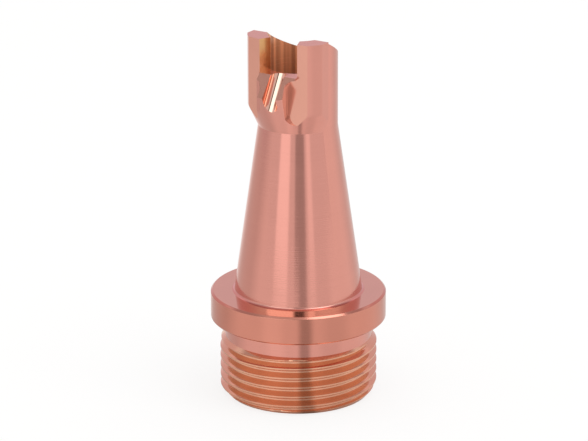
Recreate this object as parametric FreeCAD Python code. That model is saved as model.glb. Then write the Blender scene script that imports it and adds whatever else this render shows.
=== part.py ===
import FreeCAD, Part
import math
import os

# Laser welding nozzle, turned from one copper bar and then milled at the tip.
# Millimetres and degrees. Z runs up the axis from the threaded end to the tip.
# The side that the filler wire comes in on faces -Y.

# Threaded spigot
spigot_radius = 8.0
spigot_length = 7.93
end_chamfer_width = 0.72
end_chamfer_height = 0.81
relief_radius = 7.5
relief_length = 1.8

# Flange
flange_radius = 8.925
flange_height = 2.96
flange_chamfer = 0.2

# Tapered body
body_foot_radius = 6.515
body_neck_radius = 4.0
body_length = 17.5
body_foot_fillet = 0.25

# Head
head_length = 9.26
boss_radius = 5.0
boss_flare_height = 2.1
boss_half_width = 4.4
boss_back_offset = 1.25
back_slope_angle = 29.0

# Bore, wide at the threaded end and narrow at the tip
entry_radius = 5.8
entry_length = 6.0
tip_bore_radius = 3.05
tip_bore_length = 6.6

# Slot that parts the two prongs
slot_depth = 3.31
slot_centre_offset = 0.21
slot_half_width = 1.65
slot_flare_angle = 23.0

# Nose that stands out in front below the slot and guides the wire
nose_face_offset = 4.2
nose_face_angle = 37.4
nose_left_foot = 1.9
nose_left_width = 1.05
nose_right_foot = 1.29
nose_right_angle = 19.5

# Faces milled on the front of the prongs
prong_face_offset = 4.14
prong_face_turn = 9.6
prong_cutter_radius = 1.1
prong_face_depth = 8.26
right_face_edge = 0.60
left_face_edge = 1.03
right_face_roof = 0.22

# Round-bottomed groove down the nose
groove_radius = 0.77
groove_angle = 28.5
groove_centre_offset = 0.33
groove_start_offset = 4.1

# How far a cutter passes the surface that it leaves through
overrun = 3.0

# Heights along the axis
flange_z = spigot_length
foot_z = flange_z + flange_height
neck_z = foot_z + body_length
top_z = neck_z + head_length
sill_z = top_z - slot_depth
face_low_z = top_z - prong_face_depth


def turned(points):
    """Revolve a closed outline of radius and height pairs about the axis."""
    corners = [FreeCAD.Vector(radius, 0, height) for radius, height in points]
    outline = Part.makePolygon(corners + [corners[0]])
    return Part.Face(outline).revolve(FreeCAD.Vector(0, 0, 0), FreeCAD.Vector(0, 0, 1), 360)


def prism(points, low, high):
    """Raise a closed plan outline from one height to another."""
    corners = [FreeCAD.Vector(x, y, low) for x, y in points]
    outline = Part.makePolygon(corners + [corners[0]])
    return Part.Face(outline).extrude(FreeCAD.Vector(0, 0, high - low))


def turned_body():
    """Spigot with its relief, flange, tapered body and the round neck of the head."""
    relief_z = flange_z - relief_length
    run_out_z = relief_z - (spigot_radius - relief_radius)
    body = turned([
        (0, 0),
        (spigot_radius - end_chamfer_width, 0),
        (spigot_radius, end_chamfer_height),
        (spigot_radius, run_out_z),
        (relief_radius, relief_z),
        (relief_radius, flange_z),
        (flange_radius - flange_chamfer, flange_z),
        (flange_radius, flange_z + flange_chamfer),
        (flange_radius, foot_z - flange_chamfer),
        (flange_radius - flange_chamfer, foot_z),
        (body_foot_radius, foot_z),
        (body_neck_radius, neck_z),
        (body_neck_radius, top_z),
        (0, top_z),
    ])
    foot = [edge for edge in body.Edges if is_foot_edge(edge)]
    return body.makeFillet(body_foot_fillet, foot)


def is_foot_edge(edge):
    """Tell the circle where the tapered body leaves the flange."""
    box = edge.BoundBox
    level = box.ZLength < 0.001 and abs(box.ZMin - foot_z) < 0.001
    return level and abs(box.XMax - body_foot_radius) < 0.01


def front_boss():
    """Wider front half of the head, flared out of the neck and squared at its sides and back."""
    flared = turned([
        (0, neck_z),
        (body_neck_radius, neck_z),
        (boss_radius, neck_z + boss_flare_height),
        (boss_radius, top_z),
        (0, top_z),
    ])
    front = -(boss_radius + overrun)
    sides = [
        (-boss_half_width, front),
        (boss_half_width, front),
        (boss_half_width, -boss_back_offset),
        (-boss_half_width, -boss_back_offset),
    ]
    return flared.common(prism(sides, neck_z, top_z))


def back_slope():
    """Cutter for the top behind the prongs, which slopes down towards the back."""
    reach = boss_radius + overrun
    drop = (reach + boss_back_offset) * math.tan(math.radians(back_slope_angle))
    side = Part.makePolygon([
        FreeCAD.Vector(-reach, -boss_back_offset, top_z),
        FreeCAD.Vector(-reach, reach, top_z - drop),
        FreeCAD.Vector(-reach, reach, top_z + overrun),
        FreeCAD.Vector(-reach, -boss_back_offset, top_z + overrun),
        FreeCAD.Vector(-reach, -boss_back_offset, top_z),
    ])
    return Part.Face(side).extrude(FreeCAD.Vector(2 * reach, 0, 0))


def bore():
    """Straight entry, long taper and straight tip bore, as one cutter."""
    throat_z = top_z - tip_bore_length
    return turned([
        (0, -overrun),
        (entry_radius, -overrun),
        (entry_radius, entry_length),
        (tip_bore_radius, throat_z),
        (tip_bore_radius, top_z + overrun),
        (0, top_z + overrun),
    ])


def slot():
    """Cutter between the prongs, wider towards the front."""
    start = math.sqrt(tip_bore_radius ** 2 - slot_half_width ** 2)
    reach = boss_radius + overrun
    wide = slot_half_width + (reach - start) * math.tan(math.radians(slot_flare_angle))
    left = slot_centre_offset - slot_half_width
    right = slot_centre_offset + slot_half_width
    plan = [
        (left, 0),
        (left, -start),
        (slot_centre_offset - wide, -reach),
        (slot_centre_offset + wide, -reach),
        (right, -start),
        (right, 0),
    ]
    return prism(plan, sill_z, top_z + overrun)


def nose():
    """Block in front that carries the flare on outwards below the sill."""
    reach = boss_radius + overrun
    flare = (boss_radius - body_neck_radius) / boss_flare_height
    blank = turned([
        (0, neck_z),
        (body_neck_radius, neck_z),
        (body_neck_radius + (sill_z - neck_z) * flare, sill_z),
        (0, sill_z),
    ])
    wide = (reach - prong_face_offset) * math.tan(math.radians(nose_right_angle))
    plan = [
        (-nose_left_foot, 0),
        (-nose_left_foot, -prong_face_offset),
        (-nose_left_width, -(boss_radius + 0.3)),
        (-nose_left_width, -reach),
        (nose_right_foot + wide, -reach),
        (nose_right_foot, -prong_face_offset),
        (nose_right_foot, 0),
    ]
    return blank.common(prism(plan, neck_z, sill_z))


def nose_face():
    """Cutter for the nose's upper face, which falls away from the sill's front edge."""
    reach = boss_radius + overrun
    drop = (reach - nose_face_offset) / math.tan(math.radians(nose_face_angle))
    side = Part.makePolygon([
        FreeCAD.Vector(-reach, -nose_face_offset, sill_z),
        FreeCAD.Vector(-reach, -nose_face_offset, top_z + overrun),
        FreeCAD.Vector(-reach, -reach, top_z + overrun),
        FreeCAD.Vector(-reach, -reach, sill_z - drop),
        FreeCAD.Vector(-reach, -nose_face_offset, sill_z),
    ])
    return Part.Face(side).extrude(FreeCAD.Vector(2 * reach, 0, 0))


def prong_face(edge, roof, side):
    """Cutter for one prong's front face. It is drawn facing the front and then turned into place."""
    inner = side * edge
    middle = side * (edge + prong_cutter_radius)
    outer = side * (boss_radius + overrun)
    low = face_low_z + prong_cutter_radius
    reach = overrun + boss_radius - prong_face_offset
    top = top_z + overrun

    def block(from_x, to_x, from_z, to_z):
        """Box in front of the face's plane."""
        start = FreeCAD.Vector(min(from_x, to_x), -prong_face_offset - reach, from_z)
        return Part.makeBox(abs(to_x - from_x), reach, to_z - from_z, start)

    def cutter(height):
        """Place of the milling cutter when it stands square to the face."""
        start = FreeCAD.Vector(middle, -prong_face_offset - reach, height)
        return Part.makeCylinder(prong_cutter_radius, reach, start, FreeCAD.Vector(0, 1, 0))

    pocket = cutter(low).fuse(block(middle, outer, low, top))
    if roof > 0:
        high = sill_z - roof - prong_cutter_radius
        pocket = pocket.fuse(cutter(high)).fuse(block(inner, middle, low, high))
    else:
        pocket = pocket.fuse(block(inner, middle, low, top))
    pocket = pocket.fuse(block(0, outer, sill_z, top))
    pocket.rotate(FreeCAD.Vector(0, 0, 0), FreeCAD.Vector(0, 0, 1), side * prong_face_turn)
    return pocket


def wire_groove():
    """Cutter with a round bottom that leans out from the sill and leaves through the nose's flare."""
    reach = boss_radius + overrun
    groove = Part.makeCylinder(groove_radius, 2 * reach, FreeCAD.Vector(0, 0, -reach))
    opening = Part.makeBox(2 * groove_radius, reach, 2 * reach, FreeCAD.Vector(-groove_radius, -reach, -reach))
    cutter = groove.fuse(opening)
    cutter.rotate(FreeCAD.Vector(0, 0, 0), FreeCAD.Vector(1, 0, 0), -groove_angle)
    cutter.translate(FreeCAD.Vector(groove_centre_offset, -groove_start_offset, sill_z))
    return cutter


def nozzle():
    """The whole nozzle as one solid."""
    shape = turned_body().fuse(front_boss()).removeSplitter()
    shape = shape.cut(prong_face(right_face_edge, right_face_roof, 1))
    shape = shape.cut(prong_face(left_face_edge, 0, -1))
    shape = shape.fuse(nose())
    for cutter in (back_slope(), nose_face(), slot(), wire_groove(), bore()):
        shape = shape.cut(cutter)
    return shape.removeSplitter()


def main():
    """Write the nozzle's one node."""
    os.makedirs("parts", exist_ok=True)
    shape = nozzle()
    box = shape.BoundBox
    print("solids", len(shape.Solids), "valid", shape.isValid(), "volume", round(shape.Volume, 2))
    print("x %.3f %.3f y %.3f %.3f z %.3f %.3f" % (box.XMin, box.XMax, box.YMin, box.YMax, box.ZMin, box.ZMax))
    shape.exportStep("parts/nozzle.step")


main()
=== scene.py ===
import math

import bmesh
import bpy
from bpy.props import FloatProperty, FloatVectorProperty, IntProperty, PointerProperty
from mathutils import Matrix, Vector


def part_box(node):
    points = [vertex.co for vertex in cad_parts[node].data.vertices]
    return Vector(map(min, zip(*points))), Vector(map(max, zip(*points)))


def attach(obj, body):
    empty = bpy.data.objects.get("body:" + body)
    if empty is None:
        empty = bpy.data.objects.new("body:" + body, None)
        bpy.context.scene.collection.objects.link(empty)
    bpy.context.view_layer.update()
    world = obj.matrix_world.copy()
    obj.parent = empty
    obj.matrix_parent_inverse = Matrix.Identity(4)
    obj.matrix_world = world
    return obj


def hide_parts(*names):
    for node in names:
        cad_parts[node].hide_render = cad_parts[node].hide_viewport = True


bl_info = {
    "name": "Laser Welding Nozzle",
    "version": (1, 0, 0),
    "blender": (4, 5, 0),
    "location": "3D View > Sidebar > Nozzle",
    "description": "Builds a copper welding nozzle with its thread, milled tip and studio",
    "category": "Object",
}

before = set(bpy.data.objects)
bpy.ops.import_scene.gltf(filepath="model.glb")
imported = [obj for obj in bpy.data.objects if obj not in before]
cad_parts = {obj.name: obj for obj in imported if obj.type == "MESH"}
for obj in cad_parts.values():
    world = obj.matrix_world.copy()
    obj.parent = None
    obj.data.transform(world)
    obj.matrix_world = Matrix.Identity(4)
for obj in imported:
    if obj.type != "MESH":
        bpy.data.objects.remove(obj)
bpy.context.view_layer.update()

NODE = "nozzle"
MM = 0.001
TOTAL_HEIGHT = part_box(NODE)[1].z / MM
FLANGE_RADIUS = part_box(NODE)[1].x / MM

# Material slots of the nozzle, in the order that its faces name them
TURNED, THREADED, MILLED, GROOVED, BORED, FACED, RIMMED, WALLED, SIDED = range(9)


def length(name, description, default):
    """Property for a length in millimetres."""
    return FloatProperty(name=name, description=description, default=default, min=0.0, precision=3)


def angle(name, description, default):
    """Property for an angle that is given in degrees."""
    return FloatProperty(name=name, description=description, default=math.radians(default), subtype="ANGLE")


def colour(name, description, default):
    """Property for a linear colour."""
    return FloatVectorProperty(name=name, description=description, default=default, size=3, subtype="COLOR")


def level(name, description, default):
    """Property for a plain number."""
    return FloatProperty(name=name, description=description, default=default)


class NozzleTurnedSizes(bpy.types.PropertyGroup):
    """Lengths of the turned body, in millimetres"""

    spigot_radius: length("Spigot radius", "Crest radius of the thread", 8.0)
    spigot_length: length("Spigot length", "From the threaded end to the flange", 7.93)
    chamfer_width: length("End chamfer width", "Radial width of the chamfer at the threaded end", 0.72)
    chamfer_height: length("End chamfer height", "Height of the chamfer at the threaded end", 0.81)
    relief_radius: length("Relief radius", "Radius of the relief under the flange", 7.5)
    relief_length: length("Relief length", "Height of the relief", 1.8)
    flange_height: length("Flange height", "Thickness of the flange", 2.96)
    flange_chamfer: length("Flange chamfer", "Edge chamfer of the flange", 0.2)
    foot_radius: length("Body foot radius", "Radius where the tapered body leaves the flange", 6.515)
    foot_fillet: length("Foot fillet", "Fillet at the foot of the tapered body", 0.25)
    neck_radius: length("Neck radius", "Radius at the top of the tapered body", 4.0)
    body_length: length("Body length", "Height of the tapered body", 17.5)
    entry_radius: length("Entry radius", "Bore radius at the threaded end", 5.8)
    entry_length: length("Entry length", "Depth of the straight entry bore", 6.0)
    tip_bore_radius: length("Tip bore radius", "Bore radius at the tip", 3.05)
    tip_bore_length: length("Tip bore length", "Length of the straight bore at the tip", 6.6)
    entry_chamfer: length("Entry chamfer", "Chamfer at the mouth of the entry bore", 0.15)
    edge_round: length("Edge round", "Rounding of the flange's edges", 0.06)
    relief_round: length("Relief round", "Rounding between the relief and the flange", 0.12)
    segments: IntProperty(name="Segments", description="Facets around the nozzle", default=256, min=32)


class NozzleThreadSizes(bpy.types.PropertyGroup):
    """Form of the thread, in millimetres"""

    pitch: length("Pitch", "Rise of the thread in one turn", 1.0)
    depth: length("Depth", "From crest to root", 0.58)
    crest_width: length("Crest width", "Flat on the crest", 0.16)
    root_width: length("Root width", "Flat in the root", 0.18)
    phase: length("Phase", "Height of a crest on the side that the first angle names", 0.215)
    rows: IntProperty(name="Rows", description="Rows of faces in one pitch", default=14, min=6)


class NozzleTipSizes(bpy.types.PropertyGroup):
    """Lengths of the milled tip, in millimetres"""

    boss_radius: length("Boss radius", "Radius of the wider front half of the head", 5.0)
    flare_height: length("Flare height", "Height over which the boss widens", 2.1)
    flare_round: length("Flare round", "Rounding where the flare meets the boss", 0.8)
    boss_half_width: length("Boss half width", "Half the distance across the boss's side flats", 4.4)
    boss_back: length("Boss back", "From the axis to the boss's back face", 1.25)
    back_slope: angle("Back slope", "Fall of the top behind the prongs", 29.0)
    slot_depth: length("Slot depth", "From the top to the sill", 3.31)
    slot_centre: length("Slot centre", "From the nozzle's middle plane to the slot's", 0.21)
    slot_half_width: length("Slot half width", "Half the slot's width at the bore", 1.65)
    slot_flare: angle("Slot flare", "Angle of each slot wall to the middle plane", 23.0)
    nose_offset: length("Nose face offset", "From the axis to the nose's upper face at the sill", 4.2)
    nose_angle: angle("Nose face angle", "Angle of the nose's upper face to the axis", 37.4)
    nose_left_foot: length("Nose left foot", "From the middle plane to the nose's left side", 1.9)
    nose_left_width: length("Nose left width", "From the middle plane to the nose's outer left side", 1.05)
    nose_left_bend: length("Nose left bend", "From the boss's radius out to the left side's bend", 0.3)
    nose_right_foot: length("Nose right foot", "From the middle plane to the nose's right side", 1.29)
    nose_right_angle: angle("Nose right angle", "Angle of the nose's right side to the front", 19.5)
    face_offset: length("Prong face offset", "From the axis to the plane of a prong's front face", 4.14)
    face_turn: angle("Prong face turn", "Angle of a prong's face to the front", 9.6)
    face_cutter: length("Prong cutter radius", "Corner radius of a prong's face", 1.1)
    face_depth: length("Prong face depth", "From the top to the low end of a prong's face", 8.26)
    right_edge: length("Right face edge", "Inner edge of the right prong's face", 0.60)
    left_edge: length("Left face edge", "Inner edge of the left prong's face", 1.03)
    right_roof: length("Right face roof", "From the sill down to the right face's rounded top corner", 0.22)
    groove_radius: length("Groove radius", "Radius of the groove's round bottom", 0.77)
    groove_angle: angle("Groove angle", "Angle of the wire groove to the axis", 28.5)
    groove_centre: length("Groove centre", "From the middle plane to the groove's", 0.33)
    groove_start: length("Groove start", "From the axis to the centre of the groove's bottom at the sill", 4.1)
    overrun: length("Overrun", "How far a cutter passes the surface that it leaves through", 3.0)


class NozzleFinish(bpy.types.PropertyGroup):
    """Colours and surface of the copper, with lighter and darker copies of it as painted light and painted shade
    """

    copper: colour("Turned copper", "Copper of the tapered body and the head", (0.74, 0.325, 0.265))
    # Darker copy of the copper on the flange's side: painted shade
    rim_copper_painted_shade: colour("Rim copper", "Copper of the flange's side", (0.67, 0.27, 0.20))
    # Lighter copy of the copper on the flange's top: a painted reflection of the bright band on the tapered body
    faced_copper_painted_light: colour("Faced copper", "Copper of the flange's top", (0.75, 0.42, 0.32))
    thread_copper: colour("Thread copper", "Copper of the thread", (0.78, 0.415, 0.28))
    milled_copper: colour("Milled copper", "Copper of the milled faces at the tip", (0.77, 0.37, 0.285))
    # Much lighter copy of the copper on the slot walls: painted light
    wall_copper_painted_light: colour("Wall copper", "Copper of the milled walls between the prongs", (1.0, 0.73, 0.49))
    # Lighter copy of the copper on the nose's sides and the prong faces' ends: painted light
    side_copper_painted_light: colour("Side copper", "Copper of the nose's sides and the prong faces' ends", (0.92, 0.60, 0.53))
    # Lighter copy of the copper in the wire groove: painted light
    groove_copper_painted_light: colour("Groove copper", "Copper of the wire groove", (0.86, 0.49, 0.39))
    # Lighter copy of the copper in the bore: painted light
    bore_copper_painted_light: colour("Bore copper", "Copper inside the bore", (1.0, 0.43, 0.22))
    roughness: level("Roughness", "Mean roughness of the turned surface", 0.13)


class NozzleStudio(bpy.types.PropertyGroup):
    """Floor, camera and light"""

    floor_colour: colour("Floor", "Pale floor", (0.97, 0.955, 0.935))
    floor_reach: length("Floor reach", "From the axis to the floor's edge", 210.0)
    floor_glow: level("Floor glow", "Share of plain white in the floor that the camera sees", 0.8)
    surround: level("Surroundings", "Brightness of the surroundings in reflections", 0.87)
    raised: level("Raised", "Brightness of the surroundings above the horizon in reflections", 0.77)
    high: level("High", "Brightness of the surroundings higher up in reflections", 1.12)
    overhead: level("Overhead", "Brightness of the space overhead in reflections", 0.53)
    ambient: level("Ambient", "Brightness of the surroundings as light on the floor", 0.97)
    azimuth: angle("Camera azimuth", "Camera's direction from the wire side, towards +X", 33.0)
    camera_reach: length("Camera reach", "Level distance from the axis to the camera", 284.476)
    camera_height: length("Camera height", "Height of the camera", 112.908)
    camera_pitch: angle("Camera pitch", "How far the camera looks down", 18.431)
    camera_yaw: angle("Camera yaw", "How far the camera turns from the axis", 0.0848)
    camera_roll: angle("Camera roll", "How far the camera leans", -0.1493)
    camera_lens: length("Lens", "Focal length in millimetres", 181.475)


def ring(radius, height, segments):
    """Corners of one level circle."""
    turn = 2 * math.pi / segments
    return [(radius * math.cos(i * turn), radius * math.sin(i * turn), height) for i in range(segments)]


def mesh_object(name, corners, faces, slots=None):
    """Object with one mesh. slots gives the material of each face."""
    mesh = bpy.data.meshes.new(name)
    mesh.from_pydata(corners, [], faces)
    if slots is not None:
        mesh.polygons.foreach_set("material_index", slots)
    shell = bmesh.new()
    shell.from_mesh(mesh)
    bmesh.ops.recalc_face_normals(shell, faces=shell.faces)
    shell.to_mesh(mesh)
    shell.free()
    piece = bpy.data.objects.new(name, mesh)
    bpy.context.scene.collection.objects.link(piece)
    return piece


def turned_rings(profile, segments, closed):
    """Corners, faces and slots of a revolved profile of radius, height and slot."""
    corners = []
    for radius, height, _ in profile:
        corners += ring(radius, height, segments)
    faces = []
    slots = []
    count = len(profile)
    for level_index in range(count if closed else count - 1):
        low = level_index * segments
        high = ((level_index + 1) % count) * segments
        for i in range(segments):
            after = (i + 1) % segments
            faces.append((low + i, low + after, high + after, high + i))
            slots.append(profile[level_index][2])
    return corners, faces, slots


def rounded(corner, before, after, radius, steps, slot):
    """Profile points that round one corner of a turned outline, with the flats beside it kept flat."""
    to_before = (Vector(before) - Vector(corner)).normalized()
    to_after = (Vector(after) - Vector(corner)).normalized()
    half = to_before.angle(to_after) / 2
    reach = radius / math.tan(half)
    start = Vector(corner) + to_before * reach
    end = Vector(corner) + to_after * reach
    centre = Vector(corner) + (to_before + to_after).normalized() * (radius / math.sin(half))
    guard = 0.02
    flat_before = start + to_before * guard
    flat_after = end + to_after * guard
    points = [(flat_before.x, flat_before.y, slot)]
    for step in range(steps + 1):
        share = step / steps
        spoke = (start - centre).lerp(end - centre, share).normalized() * radius
        points.append((centre.x + spoke.x, centre.y + spoke.y, slot))
    points.append((flat_after.x, flat_after.y, slot))
    return points


def prism_object(name, plan, low, high, slot):
    """Closed prism of a plan outline."""
    count = len(plan)
    corners = [(x, y, low) for x, y in plan] + [(x, y, high) for x, y in plan]
    faces = [tuple(range(count - 1, -1, -1)), tuple(range(count, 2 * count))]
    for i in range(count):
        after = (i + 1) % count
        faces.append((i, after, count + after, count + i))
    return mesh_object(name, corners, faces, [slot] * len(faces))


def box_object(name, low, high, slot):
    """Closed box between two corners."""
    plan = [(low[0], low[1]), (high[0], low[1]), (high[0], high[1]), (low[0], high[1])]
    return prism_object(name, plan, low[2], high[2], slot)


def combine(piece, others, operation):
    """Join or cut a piece with others, one after another, and remove them."""
    for other in others:
        change = piece.modifiers.new(other.name, "BOOLEAN")
        change.operation = operation
        change.solver = "EXACT"
        change.material_mode = "INDEX"
        change.object = other
        depsgraph = bpy.context.evaluated_depsgraph_get()
        made = bpy.data.meshes.new_from_object(piece.evaluated_get(depsgraph))
        piece.modifiers.clear()
        old = piece.data
        piece.data = made
        bpy.data.meshes.remove(old)
        spent = other.data
        bpy.data.objects.remove(other)
        bpy.data.meshes.remove(spent)
    return piece


def heights(turned):
    """Heights of the flange's underside, its top, the neck and the tip."""
    flange = turned.spigot_length
    foot = flange + turned.flange_height
    return flange, foot, foot + turned.body_length, TOTAL_HEIGHT


def bore_radius(turned, height):
    """Radius of the bore at a height."""
    throat = TOTAL_HEIGHT - turned.tip_bore_length
    share = (height - turned.entry_length) / (throat - turned.entry_length)
    share = min(1.0, max(0.0, share))
    return turned.entry_radius + (turned.tip_bore_radius - turned.entry_radius) * share


def thread_profile(thread, offset):
    """Depth of the thread below its crest, at an offset along the axis from a crest's middle."""
    share = abs((offset / thread.pitch + 0.5) % 1.0 - 0.5) * thread.pitch
    crest = thread.crest_width / 2
    root = (thread.pitch - thread.root_width) / 2
    slope = min(1.0, max(0.0, (share - crest) / (root - crest)))
    return thread.depth * slope


def spigot_outline(turned, height):
    """Radius of the spigot before its thread is cut."""
    relief = turned.spigot_length - turned.relief_length
    chamfer = turned.chamfer_width / turned.chamfer_height
    low = turned.spigot_radius - max(0.0, turned.chamfer_height - height) * chamfer
    high = turned.relief_radius + (relief - height)
    return min(low, high, turned.spigot_radius)


def thread_grid(turned, thread):
    """Corners, faces and slots of the threaded surface, with rows that follow the helix."""
    top = turned.spigot_length - turned.relief_length
    turns = math.ceil(top / thread.pitch) + 2
    total = turns * thread.rows
    columns = turned.segments
    corners = []
    for column in range(columns):
        bearing = column / columns
        for row in range(total + 1):
            raw = (row / thread.rows - 1 + bearing) * thread.pitch
            height = min(top, max(0.0, raw))
            offset = height - (thread.phase + bearing * thread.pitch)
            limit = turned.spigot_radius - thread_profile(thread, offset)
            radius = min(limit, spigot_outline(turned, height)) if height < top else turned.relief_radius
            turn = 2 * math.pi * bearing
            corners.append((radius * math.cos(turn), radius * math.sin(turn), height))
    faces = []
    for column in range(columns):
        after = (column + 1) % columns
        skip = thread.rows if after == 0 else 0
        here = column * (total + 1)
        there = after * (total + 1)
        for row in range(total - skip):
            faces.append((here + row, there + row + skip, there + row + skip + 1, here + row + 1))
    return corners, faces, [THREADED] * len(faces)


def body_grid(turned):
    """Corners, faces and slots of the outside from the relief to the neck, with the flange's top faced."""
    flange, foot, neck, _ = heights(turned)
    chamfer = turned.flange_chamfer
    rim = FLANGE_RADIUS
    relief = flange - turned.relief_length
    outline = [
        ((turned.relief_radius, relief), 0.0),
        ((turned.relief_radius, flange), turned.relief_round),
        ((rim - chamfer, flange), turned.edge_round),
        ((rim, flange + chamfer), turned.edge_round),
        ((rim, foot - chamfer), turned.edge_round),
        ((rim - chamfer, foot), turned.edge_round),
        ((turned.foot_radius, foot), turned.foot_fillet),
        ((turned.neck_radius, neck), 0.0),
    ]
    profile = round_outline(outline, TURNED)
    slack = 0.01
    level_slack = 0.001
    for index, (radius, height, _) in enumerate(profile[:-1]):
        if flange < height < foot - slack:
            profile[index] = (radius, height, RIMMED)
        elif height > flange + slack and abs(profile[index + 1][1] - foot) < level_slack:
            profile[index] = (radius, height, FACED)
    return turned_rings(profile, turned.segments, False)


def round_outline(outline, slot):
    """Profile points of an open outline whose corners each have a radius."""
    points = []
    for index, (corner, radius) in enumerate(outline):
        if radius == 0.0:
            points.append((corner[0], corner[1], slot))
            continue
        before = outline[index - 1][0]
        after = outline[index + 1][0]
        points += rounded(corner, before, after, radius, 4, slot)
    return points


def inner_grid(turned):
    """Corners, faces and slots of the bore below the neck and the threaded end's ring."""
    neck = heights(turned)[2]
    rim = turned.spigot_radius - turned.chamfer_width
    profile = [
        (bore_radius(turned, neck), neck, BORED),
        (turned.entry_radius, turned.entry_length, BORED),
        (turned.entry_radius, turned.entry_chamfer, TURNED),
        (turned.entry_radius + turned.entry_chamfer, 0.0, TURNED),
        (rim, 0.0, TURNED),
    ]
    return turned_rings(profile, turned.segments, False)


def head_blank(turned, tip):
    """Turned blank of the head, with its bore."""
    _, _, neck, top = heights(turned)
    throat = top - turned.tip_bore_length
    outline = [
        ((turned.neck_radius, neck), 0.0),
        ((tip.boss_radius, neck + tip.flare_height), tip.flare_round),
        ((tip.boss_radius, top), 0.0),
    ]
    profile = round_outline(outline, TURNED)
    profile[-1] = (tip.boss_radius, top, MILLED)
    profile += [
        (turned.tip_bore_radius, top, BORED),
        (turned.tip_bore_radius, throat, BORED),
        (bore_radius(turned, neck), neck, BORED),
    ]
    corners, faces, slots = turned_rings(profile, turned.segments, True)
    return mesh_object("head", corners, faces, slots)


def back_cutter(turned, tip):
    """Cutter that leaves the round neck behind the boss."""
    _, _, neck, top = heights(turned)
    reach = tip.boss_radius + tip.overrun
    turn = 2 * math.pi / turned.segments
    plan = [(reach, -tip.boss_back), (reach, reach), (-reach, reach), (-reach, -tip.boss_back)]
    side = math.sqrt(turned.neck_radius ** 2 - tip.boss_back ** 2)
    plan.append((-side, -tip.boss_back))
    for index in range(turned.segments, -turned.segments, -1):
        bearing = index * turn
        y = turned.neck_radius * math.sin(bearing)
        if -math.pi / 2 < bearing < math.pi * 1.5 and y > -tip.boss_back + 0.001:
            plan.append((turned.neck_radius * math.cos(bearing), y))
    plan.append((side, -tip.boss_back))
    return prism_object("back", plan, neck, top + tip.overrun, TURNED)


def side_cutters(turned, tip):
    """Cutters that square the boss's sides."""
    _, _, neck, top = heights(turned)
    reach = tip.boss_radius + tip.overrun
    low = (tip.boss_half_width, -reach, neck)
    high = (reach, -tip.boss_back + 1.0, top + tip.overrun)
    right = box_object("side_right", low, high, TURNED)
    left = box_object("side_left", (-high[0], low[1], low[2]), (-low[0], high[1], high[2]), TURNED)
    return [right, left]


def slope_cutter(tip):
    """Cutter for the sloping top behind the prongs."""
    reach = tip.boss_radius + tip.overrun
    drop = (reach + tip.boss_back) * math.tan(tip.back_slope)
    top = TOTAL_HEIGHT
    side = [
        (-tip.boss_back, top),
        (reach, top - drop),
        (reach, top + tip.overrun),
        (-tip.boss_back, top + tip.overrun),
    ]
    corners = [(-reach, y, z) for y, z in side] + [(reach, y, z) for y, z in side]
    faces = [(0, 1, 2, 3), (7, 6, 5, 4), (0, 4, 5, 1), (1, 5, 6, 2), (2, 6, 7, 3), (3, 7, 4, 0)]
    return mesh_object("slope", corners, faces, [MILLED] * 6)


def slot_cutter(turned, tip):
    """Cutter between the prongs."""
    start = math.sqrt(turned.tip_bore_radius ** 2 - tip.slot_half_width ** 2)
    reach = tip.boss_radius + tip.overrun
    wide = tip.slot_half_width + (reach - start) * math.tan(tip.slot_flare)
    half = tip.slot_half_width
    plan = [(-wide, -reach), (wide, -reach), (half, -start), (half, 0.0), (-half, 0.0), (-half, -start)]
    plan = [(x + tip.slot_centre, y) for x, y in plan]
    sill = TOTAL_HEIGHT - tip.slot_depth
    cutter = prism_object("slot", plan, sill, TOTAL_HEIGHT + tip.overrun, WALLED)
    cutter.data.polygons[0].material_index = MILLED
    return cutter


def nose_block(turned, tip):
    """Block in front that carries the flare on outwards below the sill."""
    neck = heights(turned)[2]
    sill = TOTAL_HEIGHT - tip.slot_depth
    reach = tip.boss_radius + tip.overrun
    flare = (tip.boss_radius - turned.neck_radius) / tip.flare_height
    foot = neck + tip.flare_height / 2
    buried = 0.4
    inner = turned.tip_bore_radius + buried
    spare = 0.2
    lid = sill + spare
    wide = (reach - tip.face_offset) * math.tan(tip.nose_right_angle)
    profile = [
        (inner, foot, MILLED),
        (turned.neck_radius + (foot - neck) * flare, foot, TURNED),
        (turned.neck_radius + (lid - neck) * flare, lid, MILLED),
        (inner, lid, MILLED),
    ]
    corners, faces, slots = turned_rings(profile, turned.segments, True)
    block = mesh_object("nose", corners, faces, slots)
    inside = -2.0
    plan = [
        (-tip.nose_left_foot, inside),
        (-tip.nose_left_foot, -tip.face_offset),
        (-tip.nose_left_width, -(tip.boss_radius + tip.nose_left_bend)),
        (-tip.nose_left_width, -reach),
        (tip.nose_right_foot + wide, -reach),
        (tip.nose_right_foot, -tip.face_offset),
        (tip.nose_right_foot, inside),
    ]
    sides = prism_object("nose_sides", plan, neck, TOTAL_HEIGHT, SIDED)
    return combine(block, [sides], "INTERSECT")


def nose_face_cutter(tip):
    """Cutter for the nose's upper face, which falls away from the sill's front edge."""
    reach = tip.boss_radius + tip.overrun
    sill = TOTAL_HEIGHT - tip.slot_depth
    drop = (reach - tip.nose_offset) / math.tan(tip.nose_angle)
    top = TOTAL_HEIGHT + tip.overrun
    side = [(-tip.nose_offset, sill), (-tip.nose_offset, top), (-reach, top), (-reach, sill - drop)]
    corners = [(-reach, y, z) for y, z in side] + [(reach, y, z) for y, z in side]
    faces = [(0, 1, 2, 3), (7, 6, 5, 4), (0, 4, 5, 1), (1, 5, 6, 2), (2, 6, 7, 3), (3, 7, 4, 0)]
    return mesh_object("nose_face", corners, faces, [MILLED] * 6)


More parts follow.
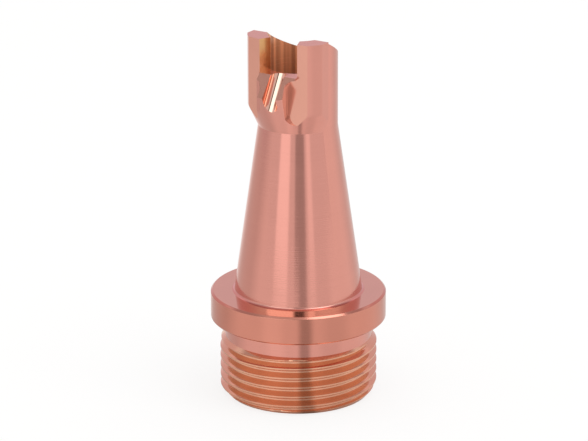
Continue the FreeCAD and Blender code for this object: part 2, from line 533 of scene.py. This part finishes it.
def face_cutter(tip, edge, roof, side):
    """Cutter for one prong's front face, drawn facing the front and then turned."""
    top = TOTAL_HEIGHT + tip.overrun
    sill = TOTAL_HEIGHT - tip.slot_depth
    middle = edge + tip.face_cutter
    outer = tip.boss_radius + tip.overrun
    low = TOTAL_HEIGHT - tip.face_depth + tip.face_cutter
    past_middle = -0.2
    steps = 24
    outline = []
    for step in range(steps + 1):
        bend = math.pi * (1 + step / steps)
        outline.append((middle + tip.face_cutter * math.cos(bend), low + tip.face_cutter * math.sin(bend)))
    outline += [(outer, low), (outer, top), (past_middle, top), (past_middle, sill)]
    if roof > 0:
        high = sill - roof - tip.face_cutter
        outline.append((middle, sill))
        for step in range(steps // 2 + 1):
            bend = math.pi / 2 * (1 + step / (steps // 2))
            across = tip.face_cutter * math.cos(bend)
            outline.append((middle + across, high + tip.face_cutter * math.sin(bend)))
    else:
        outline.append((edge, sill))
    near = -tip.face_offset
    far = -(tip.boss_radius + tip.overrun)
    count = len(outline)
    corners = [(side * x, near, z) for x, z in outline] + [(side * x, far, z) for x, z in outline]
    faces = [tuple(range(count)), tuple(range(2 * count - 1, count - 1, -1))]
    for i in range(count):
        after = (i + 1) % count
        faces.append((i, count + i, count + after, after))
    cutter = mesh_object("face", corners, faces, [MILLED] * 2 + [SIDED] * count)
    cutter.data.transform(Matrix.Rotation(side * tip.face_turn, 4, "Z"))
    return cutter


def groove_cutter(tip):
    """Cutter with a round bottom that leans out from the sill and leaves through the flare."""
    reach = tip.boss_radius + tip.overrun
    steps = 32
    outline = [(tip.groove_radius, -reach), (tip.groove_radius, 0.0)]
    for step in range(1, steps):
        bend = math.pi * step / steps
        outline.append((tip.groove_radius * math.cos(bend), tip.groove_radius * math.sin(bend)))
    outline += [(-tip.groove_radius, 0.0), (-tip.groove_radius, -reach)]
    cutter = prism_object("groove", outline, -reach, reach, GROOVED)
    place = Matrix.Translation((tip.groove_centre, -tip.groove_start, TOTAL_HEIGHT - tip.slot_depth))
    cutter.data.transform(place @ Matrix.Rotation(-tip.groove_angle, 4, "X"))
    return cutter


def head_piece(turned, tip):
    """The head with all its milling."""
    head = head_blank(turned, tip)
    combine(head, [back_cutter(turned, tip)] + side_cutters(turned, tip), "DIFFERENCE")
    faces = [face_cutter(tip, tip.right_edge, tip.right_roof, 1), face_cutter(tip, tip.left_edge, 0.0, -1)]
    combine(head, faces, "DIFFERENCE")
    combine(head, [nose_block(turned, tip)], "UNION")
    cutters = [slope_cutter(tip), nose_face_cutter(tip), slot_cutter(turned, tip), groove_cutter(tip)]
    return combine(head, cutters, "DIFFERENCE")


def drop_end_ring(mesh_data, neck):
    """Remove the faces that close the head's low end, so that it joins the body."""
    flat = [f for f in mesh_data.faces if abs(f.normal.z) > 0.99 and abs(f.calc_center_median().z - neck) < 0.01]
    bmesh.ops.delete(mesh_data, geom=flat, context="FACES")


def assemble(turned, thread, tip):
    """The nozzle as one closed mesh, in metres."""
    neck = heights(turned)[2]
    weld = 0.0008
    sliver = 0.0002
    sharp = math.radians(24)
    head = head_piece(turned, tip)
    whole = bmesh.new()
    whole.from_mesh(head.data)
    drop_end_ring(whole, neck)
    for corners, faces, slots in (thread_grid(turned, thread), body_grid(turned), inner_grid(turned)):
        start = len(whole.verts)
        for corner in corners:
            whole.verts.new(corner)
        whole.verts.ensure_lookup_table()
        for face, slot in zip(faces, slots):
            made = whole.faces.new([whole.verts[start + index] for index in face])
            made.material_index = slot
    bmesh.ops.remove_doubles(whole, verts=whole.verts, dist=weld)
    bmesh.ops.dissolve_degenerate(whole, edges=whole.edges, dist=sliver)
    bmesh.ops.recalc_face_normals(whole, faces=whole.faces)
    open_edges = sum(1 for edge in whole.edges if not edge.is_manifold)
    print("nozzle faces", len(whole.faces), "open edges", open_edges)
    spent = head.data
    bpy.data.objects.remove(head)
    bpy.data.meshes.remove(spent)
    mesh = bpy.data.meshes.new("nozzle_body")
    bmesh.ops.scale(whole, vec=(MM, MM, MM), verts=whole.verts)
    whole.to_mesh(mesh)
    whole.free()
    mesh.polygons.foreach_set("use_smooth", [True] * len(mesh.polygons))
    mesh.set_sharp_from_angle(angle=sharp)
    return mesh


class Signal:
    """A shader socket that can stand in a Python expression."""

    def __init__(self, graph, socket):
        self.graph = graph
        self.socket = socket

    def __add__(self, other):
        return self.graph.math("ADD", self, other)

    __radd__ = __add__

    def __sub__(self, other):
        return self.graph.math("SUBTRACT", self, other)

    def __rsub__(self, other):
        return self.graph.math("SUBTRACT", other, self)

    def __mul__(self, other):
        return self.graph.math("MULTIPLY", self, other)

    __rmul__ = __mul__

    def __truediv__(self, other):
        return self.graph.math("DIVIDE", self, other)

    def __pow__(self, other):
        return self.graph.math("POWER", self, other)


class Graph:
    """A node tree that is built from expressions."""

    def __init__(self, tree):
        self.tree = tree
        tree.nodes.clear()

    def add(self, kind, settings=None, inputs=None, output=0):
        """Node of a type, with its settings first and then the values or links of its sockets."""
        node = self.tree.nodes.new(kind)
        for name, value in (settings or {}).items():
            setattr(node, name, value)
        for name, value in (inputs or {}).items():
            self.feed(node.inputs[name], value)
        return Signal(self, node.outputs[output]) if node.outputs else node

    def feed(self, socket, value):
        """Link a signal to a socket, or set the socket's own value."""
        if isinstance(value, Signal):
            self.tree.links.new(value.socket, socket)
        else:
            socket.default_value = value

    def math(self, operation, *values):
        """Math node on numbers and signals."""
        return self.add("ShaderNodeMath", {"operation": operation}, dict(enumerate(values)))

    def limit(self, value):
        """Value kept between 0 and 1."""
        return self.add("ShaderNodeClamp", {}, {"Value": value})

    def blend(self, factor, first, second):
        """Blend of two numbers or signals."""
        return (second - first) * factor + first

    def mix(self, factor, first, second):
        """Blend of two colours."""
        settings = {"data_type": "RGBA", "clamp_factor": True}
        return self.add("ShaderNodeMix", settings, {0: factor, 6: first, 7: second}, 2)

    def bell(self, value, middle, half_width, softness):
        """One near the middle value and zero outside, with soft edges."""
        away = self.math("ABSOLUTE", value - middle)
        return self.limit((half_width + softness / 2 - away) / softness)


def copper_material(name, tint, finish, mark_height, mark_axis, rough_shift=0.0, reflection_streaks=0.0, metallic=1.0):
    """Bare copper with fine tool marks along one direction, and, if asked, darker streaks down the bore that are
    a painted reflection.
    """
    material = bpy.data.materials.new(name)
    material.use_nodes = True
    graph = Graph(material.node_tree)
    place = graph.add("ShaderNodeTexCoord", {}, {}, "Object")
    split = graph.add("ShaderNodeSeparateXYZ", {}, {"Vector": place}).socket.node
    x, y, z = (Signal(graph, split.outputs[axis]) / MM for axis in range(3))
    radius = (x * x + y * y) ** 0.5
    along = {"turned": z + radius, "milled": x * 0.8 + z * 0.6, "along": x}[mark_axis]
    line = {"noise_dimensions": "1D"}
    fine = graph.add("ShaderNodeTexNoise", line, {"W": along, "Scale": 13.0, "Detail": 2.0})
    broad = graph.add("ShaderNodeTexNoise", line, {"W": along, "Scale": 2.2, "Detail": 2.0})
    cloud = graph.add("ShaderNodeTexNoise", {}, {"Vector": place, "Scale": 400.0, "Detail": 3.0})
    marks = fine * 0.7 + broad * 0.3
    dark = tuple(c * 0.90 for c in tint) + (1.0,)
    light = tuple(min(1.0, c * 1.06) for c in tint) + (1.0,)
    base = graph.mix(graph.limit(marks * 0.6 + cloud * 0.4), dark, light)
    # Darker streaks by bearing round the axis: a painted reflection of the surroundings, not marks in the copper
    if reflection_streaks:
        around = graph.math("ARCTAN2", y, x)
        streak = graph.add("ShaderNodeTexNoise", line, {"W": around, "Scale": 3.6, "Detail": 1.0})
        reflection_dark = tuple(c * (1.0 - reflection_streaks) for c in tint) + (1.0,)
        base = graph.mix(graph.limit((streak - 0.42) / 0.16), reflection_dark, base)
    rough = graph.limit(finish.roughness + rough_shift + (fine - 0.5) * 0.09 + (cloud - 0.5) * 0.08)
    bump = graph.add("ShaderNodeBump", {}, {"Strength": 1.0, "Distance": mark_height * MM, "Height": marks})
    shader = graph.add("ShaderNodeBsdfPrincipled", {}, {
        "Base Color": base,
        "Metallic": metallic,
        "Roughness": rough,
        "Normal": bump,
    })
    graph.add("ShaderNodeOutputMaterial", {}, {"Surface": shader})
    return material


def nozzle_materials(finish):
    """Materials in the order of the slots; the faced, wall, side, groove and bore copper carry painted light, the
    rim copper painted shade.
    """
    return [
        copper_material("copper_turned", tuple(finish.copper), finish, 0.0025, "turned"),
        copper_material("copper_thread", tuple(finish.thread_copper), finish, 0.003, "turned"),
        copper_material("copper_milled", tuple(finish.milled_copper), finish, 0.002, "milled", 0.03),
        copper_material("copper_groove_painted_light", tuple(finish.groove_copper_painted_light), finish, 0.003, "along", -0.08),
        copper_material("copper_bore_painted_light", tuple(finish.bore_copper_painted_light), finish, 0.0008, "turned", 0.12, 0.5, 0.25),
        copper_material("copper_faced_painted_light", tuple(finish.faced_copper_painted_light), finish, 0.003, "turned", -0.04),
        copper_material("copper_rim_painted_shade", tuple(finish.rim_copper_painted_shade), finish, 0.003, "turned", 0.02),
        copper_material("copper_wall_painted_light", tuple(finish.wall_copper_painted_light), finish, 0.002, "milled", 0.03),
        copper_material("copper_side_painted_light", tuple(finish.side_copper_painted_light), finish, 0.002, "milled", 0.03),
    ]


class NOZZLE_OT_body(bpy.types.Operator):
    """Build the copper nozzle"""

    bl_idname = "nozzle.build_body"
    bl_label = "Build Nozzle"

    def execute(self, context):
        scene = context.scene
        mesh = assemble(scene.nozzle_turned, scene.nozzle_thread, scene.nozzle_tip)
        for material in nozzle_materials(scene.nozzle_finish):
            mesh.materials.append(material)
        piece = bpy.data.objects.new("nozzle_body", mesh)
        scene.collection.objects.link(piece)
        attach(piece, "root")
        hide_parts(NODE)
        return {"FINISHED"}


# Zones of the surroundings above the horizon: the sine of the elevation where each starts,
# and over how much it blends in
ZONES = ((0.12, 0.12), (0.50, 0.035), (0.60, 0.06), (0.80, 0.10))

# Tints of the surroundings in reflections
PLAIN_TINT = (1.0, 1.0, 1.0, 1.0)
AWAY_TINT = (1.0, 0.88, 0.98, 1.0)
AWAY_RAISED_TINT = (1.0, 0.80, 0.88, 1.0)
COOL_TINT = (0.88, 1.11, 1.11, 1.0)

# Soft bands that the copper reflects: bearing from the camera, half width, softness and gain,
# near the horizon, higher up, overhead and on the floor
WORLD_BANDS = (
    (-34.0, 13.5, 2.5, 0.42),
    (4.5, 11.5, 2.5, -0.40),
    (27.0, 5.5, 3.0, 0.26),
    (-115.0, 30.0, 22.0, -0.18),
    (138.0, 30.0, 25.0, -0.12),
)
HIGH_BANDS = (
    (-150.0, 62.0, 20.0, -0.22),
    (150.0, 62.0, 20.0, -0.22),
    (-37.0, 27.0, 3.0, 0.95),
    (2.0, 10.0, 3.0, -1.06),
    (26.0, 7.0, 3.0, 0.75),
    (64.0, 28.0, 10.0, 0.30),
)
OVERHEAD_BANDS = (
    (-37.0, 26.0, 4.0, 0.85),
    (26.0, 7.0, 4.0, 0.50),
)
# Bands painted on the floor as shade, which only reflections show
FLOOR_SHADE_BANDS = (
    (-30.0, 11.0, 10.0, 0.10),
    (8.0, 7.0, 6.0, -0.42),
    (44.0, 14.0, 12.0, -0.10),
    (-115.0, 30.0, 22.0, -0.20),
    (146.0, 30.0, 25.0, -0.15),
)


def camera_bearing(graph, x, y, azimuth):
    """Bearing about the nozzle, measured from the camera's direction."""
    bearing = graph.math("ARCTAN2", x, y * -1.0) - azimuth
    return graph.math("WRAP", bearing, math.pi, -math.pi)


def banded(graph, turn, plain, bands):
    """Plain level with the bands added by bearing."""
    tone = plain
    for middle, half_width, softness, gain in bands:
        band = graph.bell(turn, math.radians(middle), math.radians(half_width), math.radians(softness))
        tone = band * gain + tone
    return tone


def studio_world(scene, studio):
    """White surroundings with soft bright and dark bands that only reflections show."""
    world = bpy.data.worlds.new("studio")
    scene.world = world
    world.use_nodes = True
    graph = Graph(world.node_tree)
    rays = graph.add("ShaderNodeLightPath").socket.node
    camera_ray = Signal(graph, rays.outputs["Is Camera Ray"])
    glossy_ray = Signal(graph, rays.outputs["Is Glossy Ray"])
    direction = graph.add("ShaderNodeTexCoord", {}, {}, "Generated")
    split = graph.add("ShaderNodeSeparateXYZ", {}, {"Vector": direction}).socket.node
    x, y, z = (Signal(graph, split.outputs[axis]) for axis in range(3))
    turn = camera_bearing(graph, x, y, studio.azimuth)
    raised, high, overhead, zenith = (graph.limit((z - start) / softness) for start, softness in ZONES)
    tone = graph.blend(raised, banded(graph, turn, studio.surround, WORLD_BANDS), studio.raised)
    tone = graph.blend(high, tone, banded(graph, turn, studio.high, HIGH_BANDS))
    tone = graph.blend(overhead, tone, banded(graph, turn, studio.overhead, OVERHEAD_BANDS))
    tone = graph.blend(zenith, tone, studio.raised)
    strength = graph.blend(camera_ray, graph.blend(glossy_ray, studio.ambient, tone), 1.0)
    away = graph.limit((graph.math("ABSOLUTE", turn) - math.radians(80)) / math.radians(50)) * glossy_ray
    cool = high * (1 - overhead) * (1 - away) * glossy_ray
    tint = graph.mix(away, PLAIN_TINT, AWAY_TINT)
    tint = graph.mix(away * raised, tint, AWAY_RAISED_TINT)
    tint = graph.mix(cool, tint, COOL_TINT)
    back = graph.add("ShaderNodeBackground", {}, {"Color": tint, "Strength": strength})
    graph.add("ShaderNodeOutputWorld", {}, {"Surface": back})


def studio_floor(studio):
    """Pale floor that fades into the white surroundings, with dark bands painted on it by bearing that only
    reflections show: painted shade.
    """
    reach = studio.floor_reach * MM
    corners = [(-reach, -reach, 0.0), (reach, -reach, 0.0), (reach, reach, 0.0), (-reach, reach, 0.0)]
    floor = mesh_object("floor", corners, [(0, 1, 2, 3)])
    material = bpy.data.materials.new("pale_floor")
    material.use_nodes = True
    graph = Graph(material.node_tree)
    rays = graph.add("ShaderNodeLightPath").socket.node
    seen = Signal(graph, rays.outputs["Is Camera Ray"])
    glossy = Signal(graph, rays.outputs["Is Glossy Ray"])
    place = graph.add("ShaderNodeTexCoord", {}, {}, "Object")
    split = graph.add("ShaderNodeSeparateXYZ", {}, {"Vector": place}).socket.node
    x, y = (Signal(graph, split.outputs[axis]) for axis in range(2))
    # Painted shade: the floor is darkened by bearing for reflected rays only
    tone = banded(graph, camera_bearing(graph, x, y, studio.azimuth), 1.0, FLOOR_SHADE_BANDS)
    brightest = 1.1
    shade = graph.limit((brightest - tone) * glossy)
    plain = tuple(studio.floor_colour) + (1.0,)
    pale = graph.mix(shade, plain, (0.0, 0.0, 0.0, 1.0))
    matt = graph.add("ShaderNodeBsdfDiffuse", {}, {"Color": pale})
    glow = graph.add("ShaderNodeEmission", {}, {"Strength": 1.0})
    both = graph.add("ShaderNodeMixShader", {}, {0: seen * studio.floor_glow, 1: matt, 2: glow})
    graph.add("ShaderNodeOutputMaterial", {}, {"Surface": both})
    floor.data.materials.append(material)


def studio_light(scene, name, bearing, height, reach, size, power, azimuth):
    """Soft area light that looks at the nozzle."""
    lamp = bpy.data.lights.new(name, "AREA")
    lamp.energy = power
    lamp.size = size
    light = bpy.data.objects.new(name, lamp)
    turn = azimuth + math.radians(bearing)
    light.location = (reach * math.sin(turn), -reach * math.cos(turn), height)
    middle = 0.018
    aim = Vector((0, 0, middle)) - light.location
    light.rotation_mode = "QUATERNION"
    light.rotation_quaternion = aim.to_track_quat("-Z", "Y")
    scene.collection.objects.link(light)


def studio_camera(scene, studio):
    """Camera at the photograph's viewing angle."""
    data = bpy.data.cameras.new("camera")
    data.sensor_width = 36.0
    data.lens = studio.camera_lens
    data.clip_start = 0.01
    data.clip_end = 10.0
    camera = bpy.data.objects.new("camera", data)
    reach = studio.camera_reach * MM
    camera.location = (
        reach * math.sin(studio.azimuth),
        -reach * math.cos(studio.azimuth),
        studio.camera_height * MM,
    )
    look = Matrix.Rotation(studio.azimuth + studio.camera_yaw, 4, "Z")
    tilt = Matrix.Rotation(math.pi / 2 - studio.camera_pitch, 4, "X")
    lean = Matrix.Rotation(studio.camera_roll, 4, "Z")
    camera.rotation_mode = "QUATERNION"
    camera.rotation_quaternion = (look @ tilt @ lean).to_quaternion()
    scene.collection.objects.link(camera)
    scene.camera = camera


class NOZZLE_OT_stage(bpy.types.Operator):
    """Build the floor, the light and the camera"""

    bl_idname = "nozzle.build_stage"
    bl_label = "Build Studio"

    def execute(self, context):
        scene = context.scene
        studio = scene.nozzle_studio
        scene.view_settings.view_transform = "Standard"
        studio_world(scene, studio)
        studio_floor(studio)
        place = {"bearing": 60.0, "height": 0.5, "reach": 0.3}
        studio_light(scene, "soft_right", size=0.3, power=0.5, azimuth=studio.azimuth, **place)
        studio_camera(scene, studio)
        return {"FINISHED"}


class NOZZLE_PT_panel(bpy.types.Panel):
    """Buttons that build the nozzle and its studio"""

    bl_label = "Nozzle"
    bl_idname = "NOZZLE_PT_panel"
    bl_space_type = "VIEW_3D"
    bl_region_type = "UI"
    bl_category = "Nozzle"

    def draw(self, context):
        layout = self.layout
        for operator in BUILD_ORDER:
            layout.operator(operator.bl_idname)
        for group in SETTINGS:
            for name in SETTINGS[group].__annotations__:
                layout.prop(getattr(context.scene, group), name)


BUILD_ORDER = (NOZZLE_OT_body, NOZZLE_OT_stage)
SETTINGS = {
    "nozzle_turned": NozzleTurnedSizes,
    "nozzle_thread": NozzleThreadSizes,
    "nozzle_tip": NozzleTipSizes,
    "nozzle_finish": NozzleFinish,
    "nozzle_studio": NozzleStudio,
}


def register():
    """Add the settings, operators and panel."""
    for name, group in SETTINGS.items():
        bpy.utils.register_class(group)
        setattr(bpy.types.Scene, name, PointerProperty(type=group))
    for operator in BUILD_ORDER:
        bpy.utils.register_class(operator)
    bpy.utils.register_class(NOZZLE_PT_panel)


def unregister():
    """Remove the settings, operators and panel."""
    bpy.utils.unregister_class(NOZZLE_PT_panel)
    for operator in reversed(BUILD_ORDER):
        bpy.utils.unregister_class(operator)
    for name, group in reversed(SETTINGS.items()):
        delattr(bpy.types.Scene, name)
        bpy.utils.unregister_class(group)


def main():
    """Build everything."""
    register()
    bpy.ops.nozzle.build_body()
    bpy.ops.nozzle.build_stage()


if __name__ == "__main__":
    main()
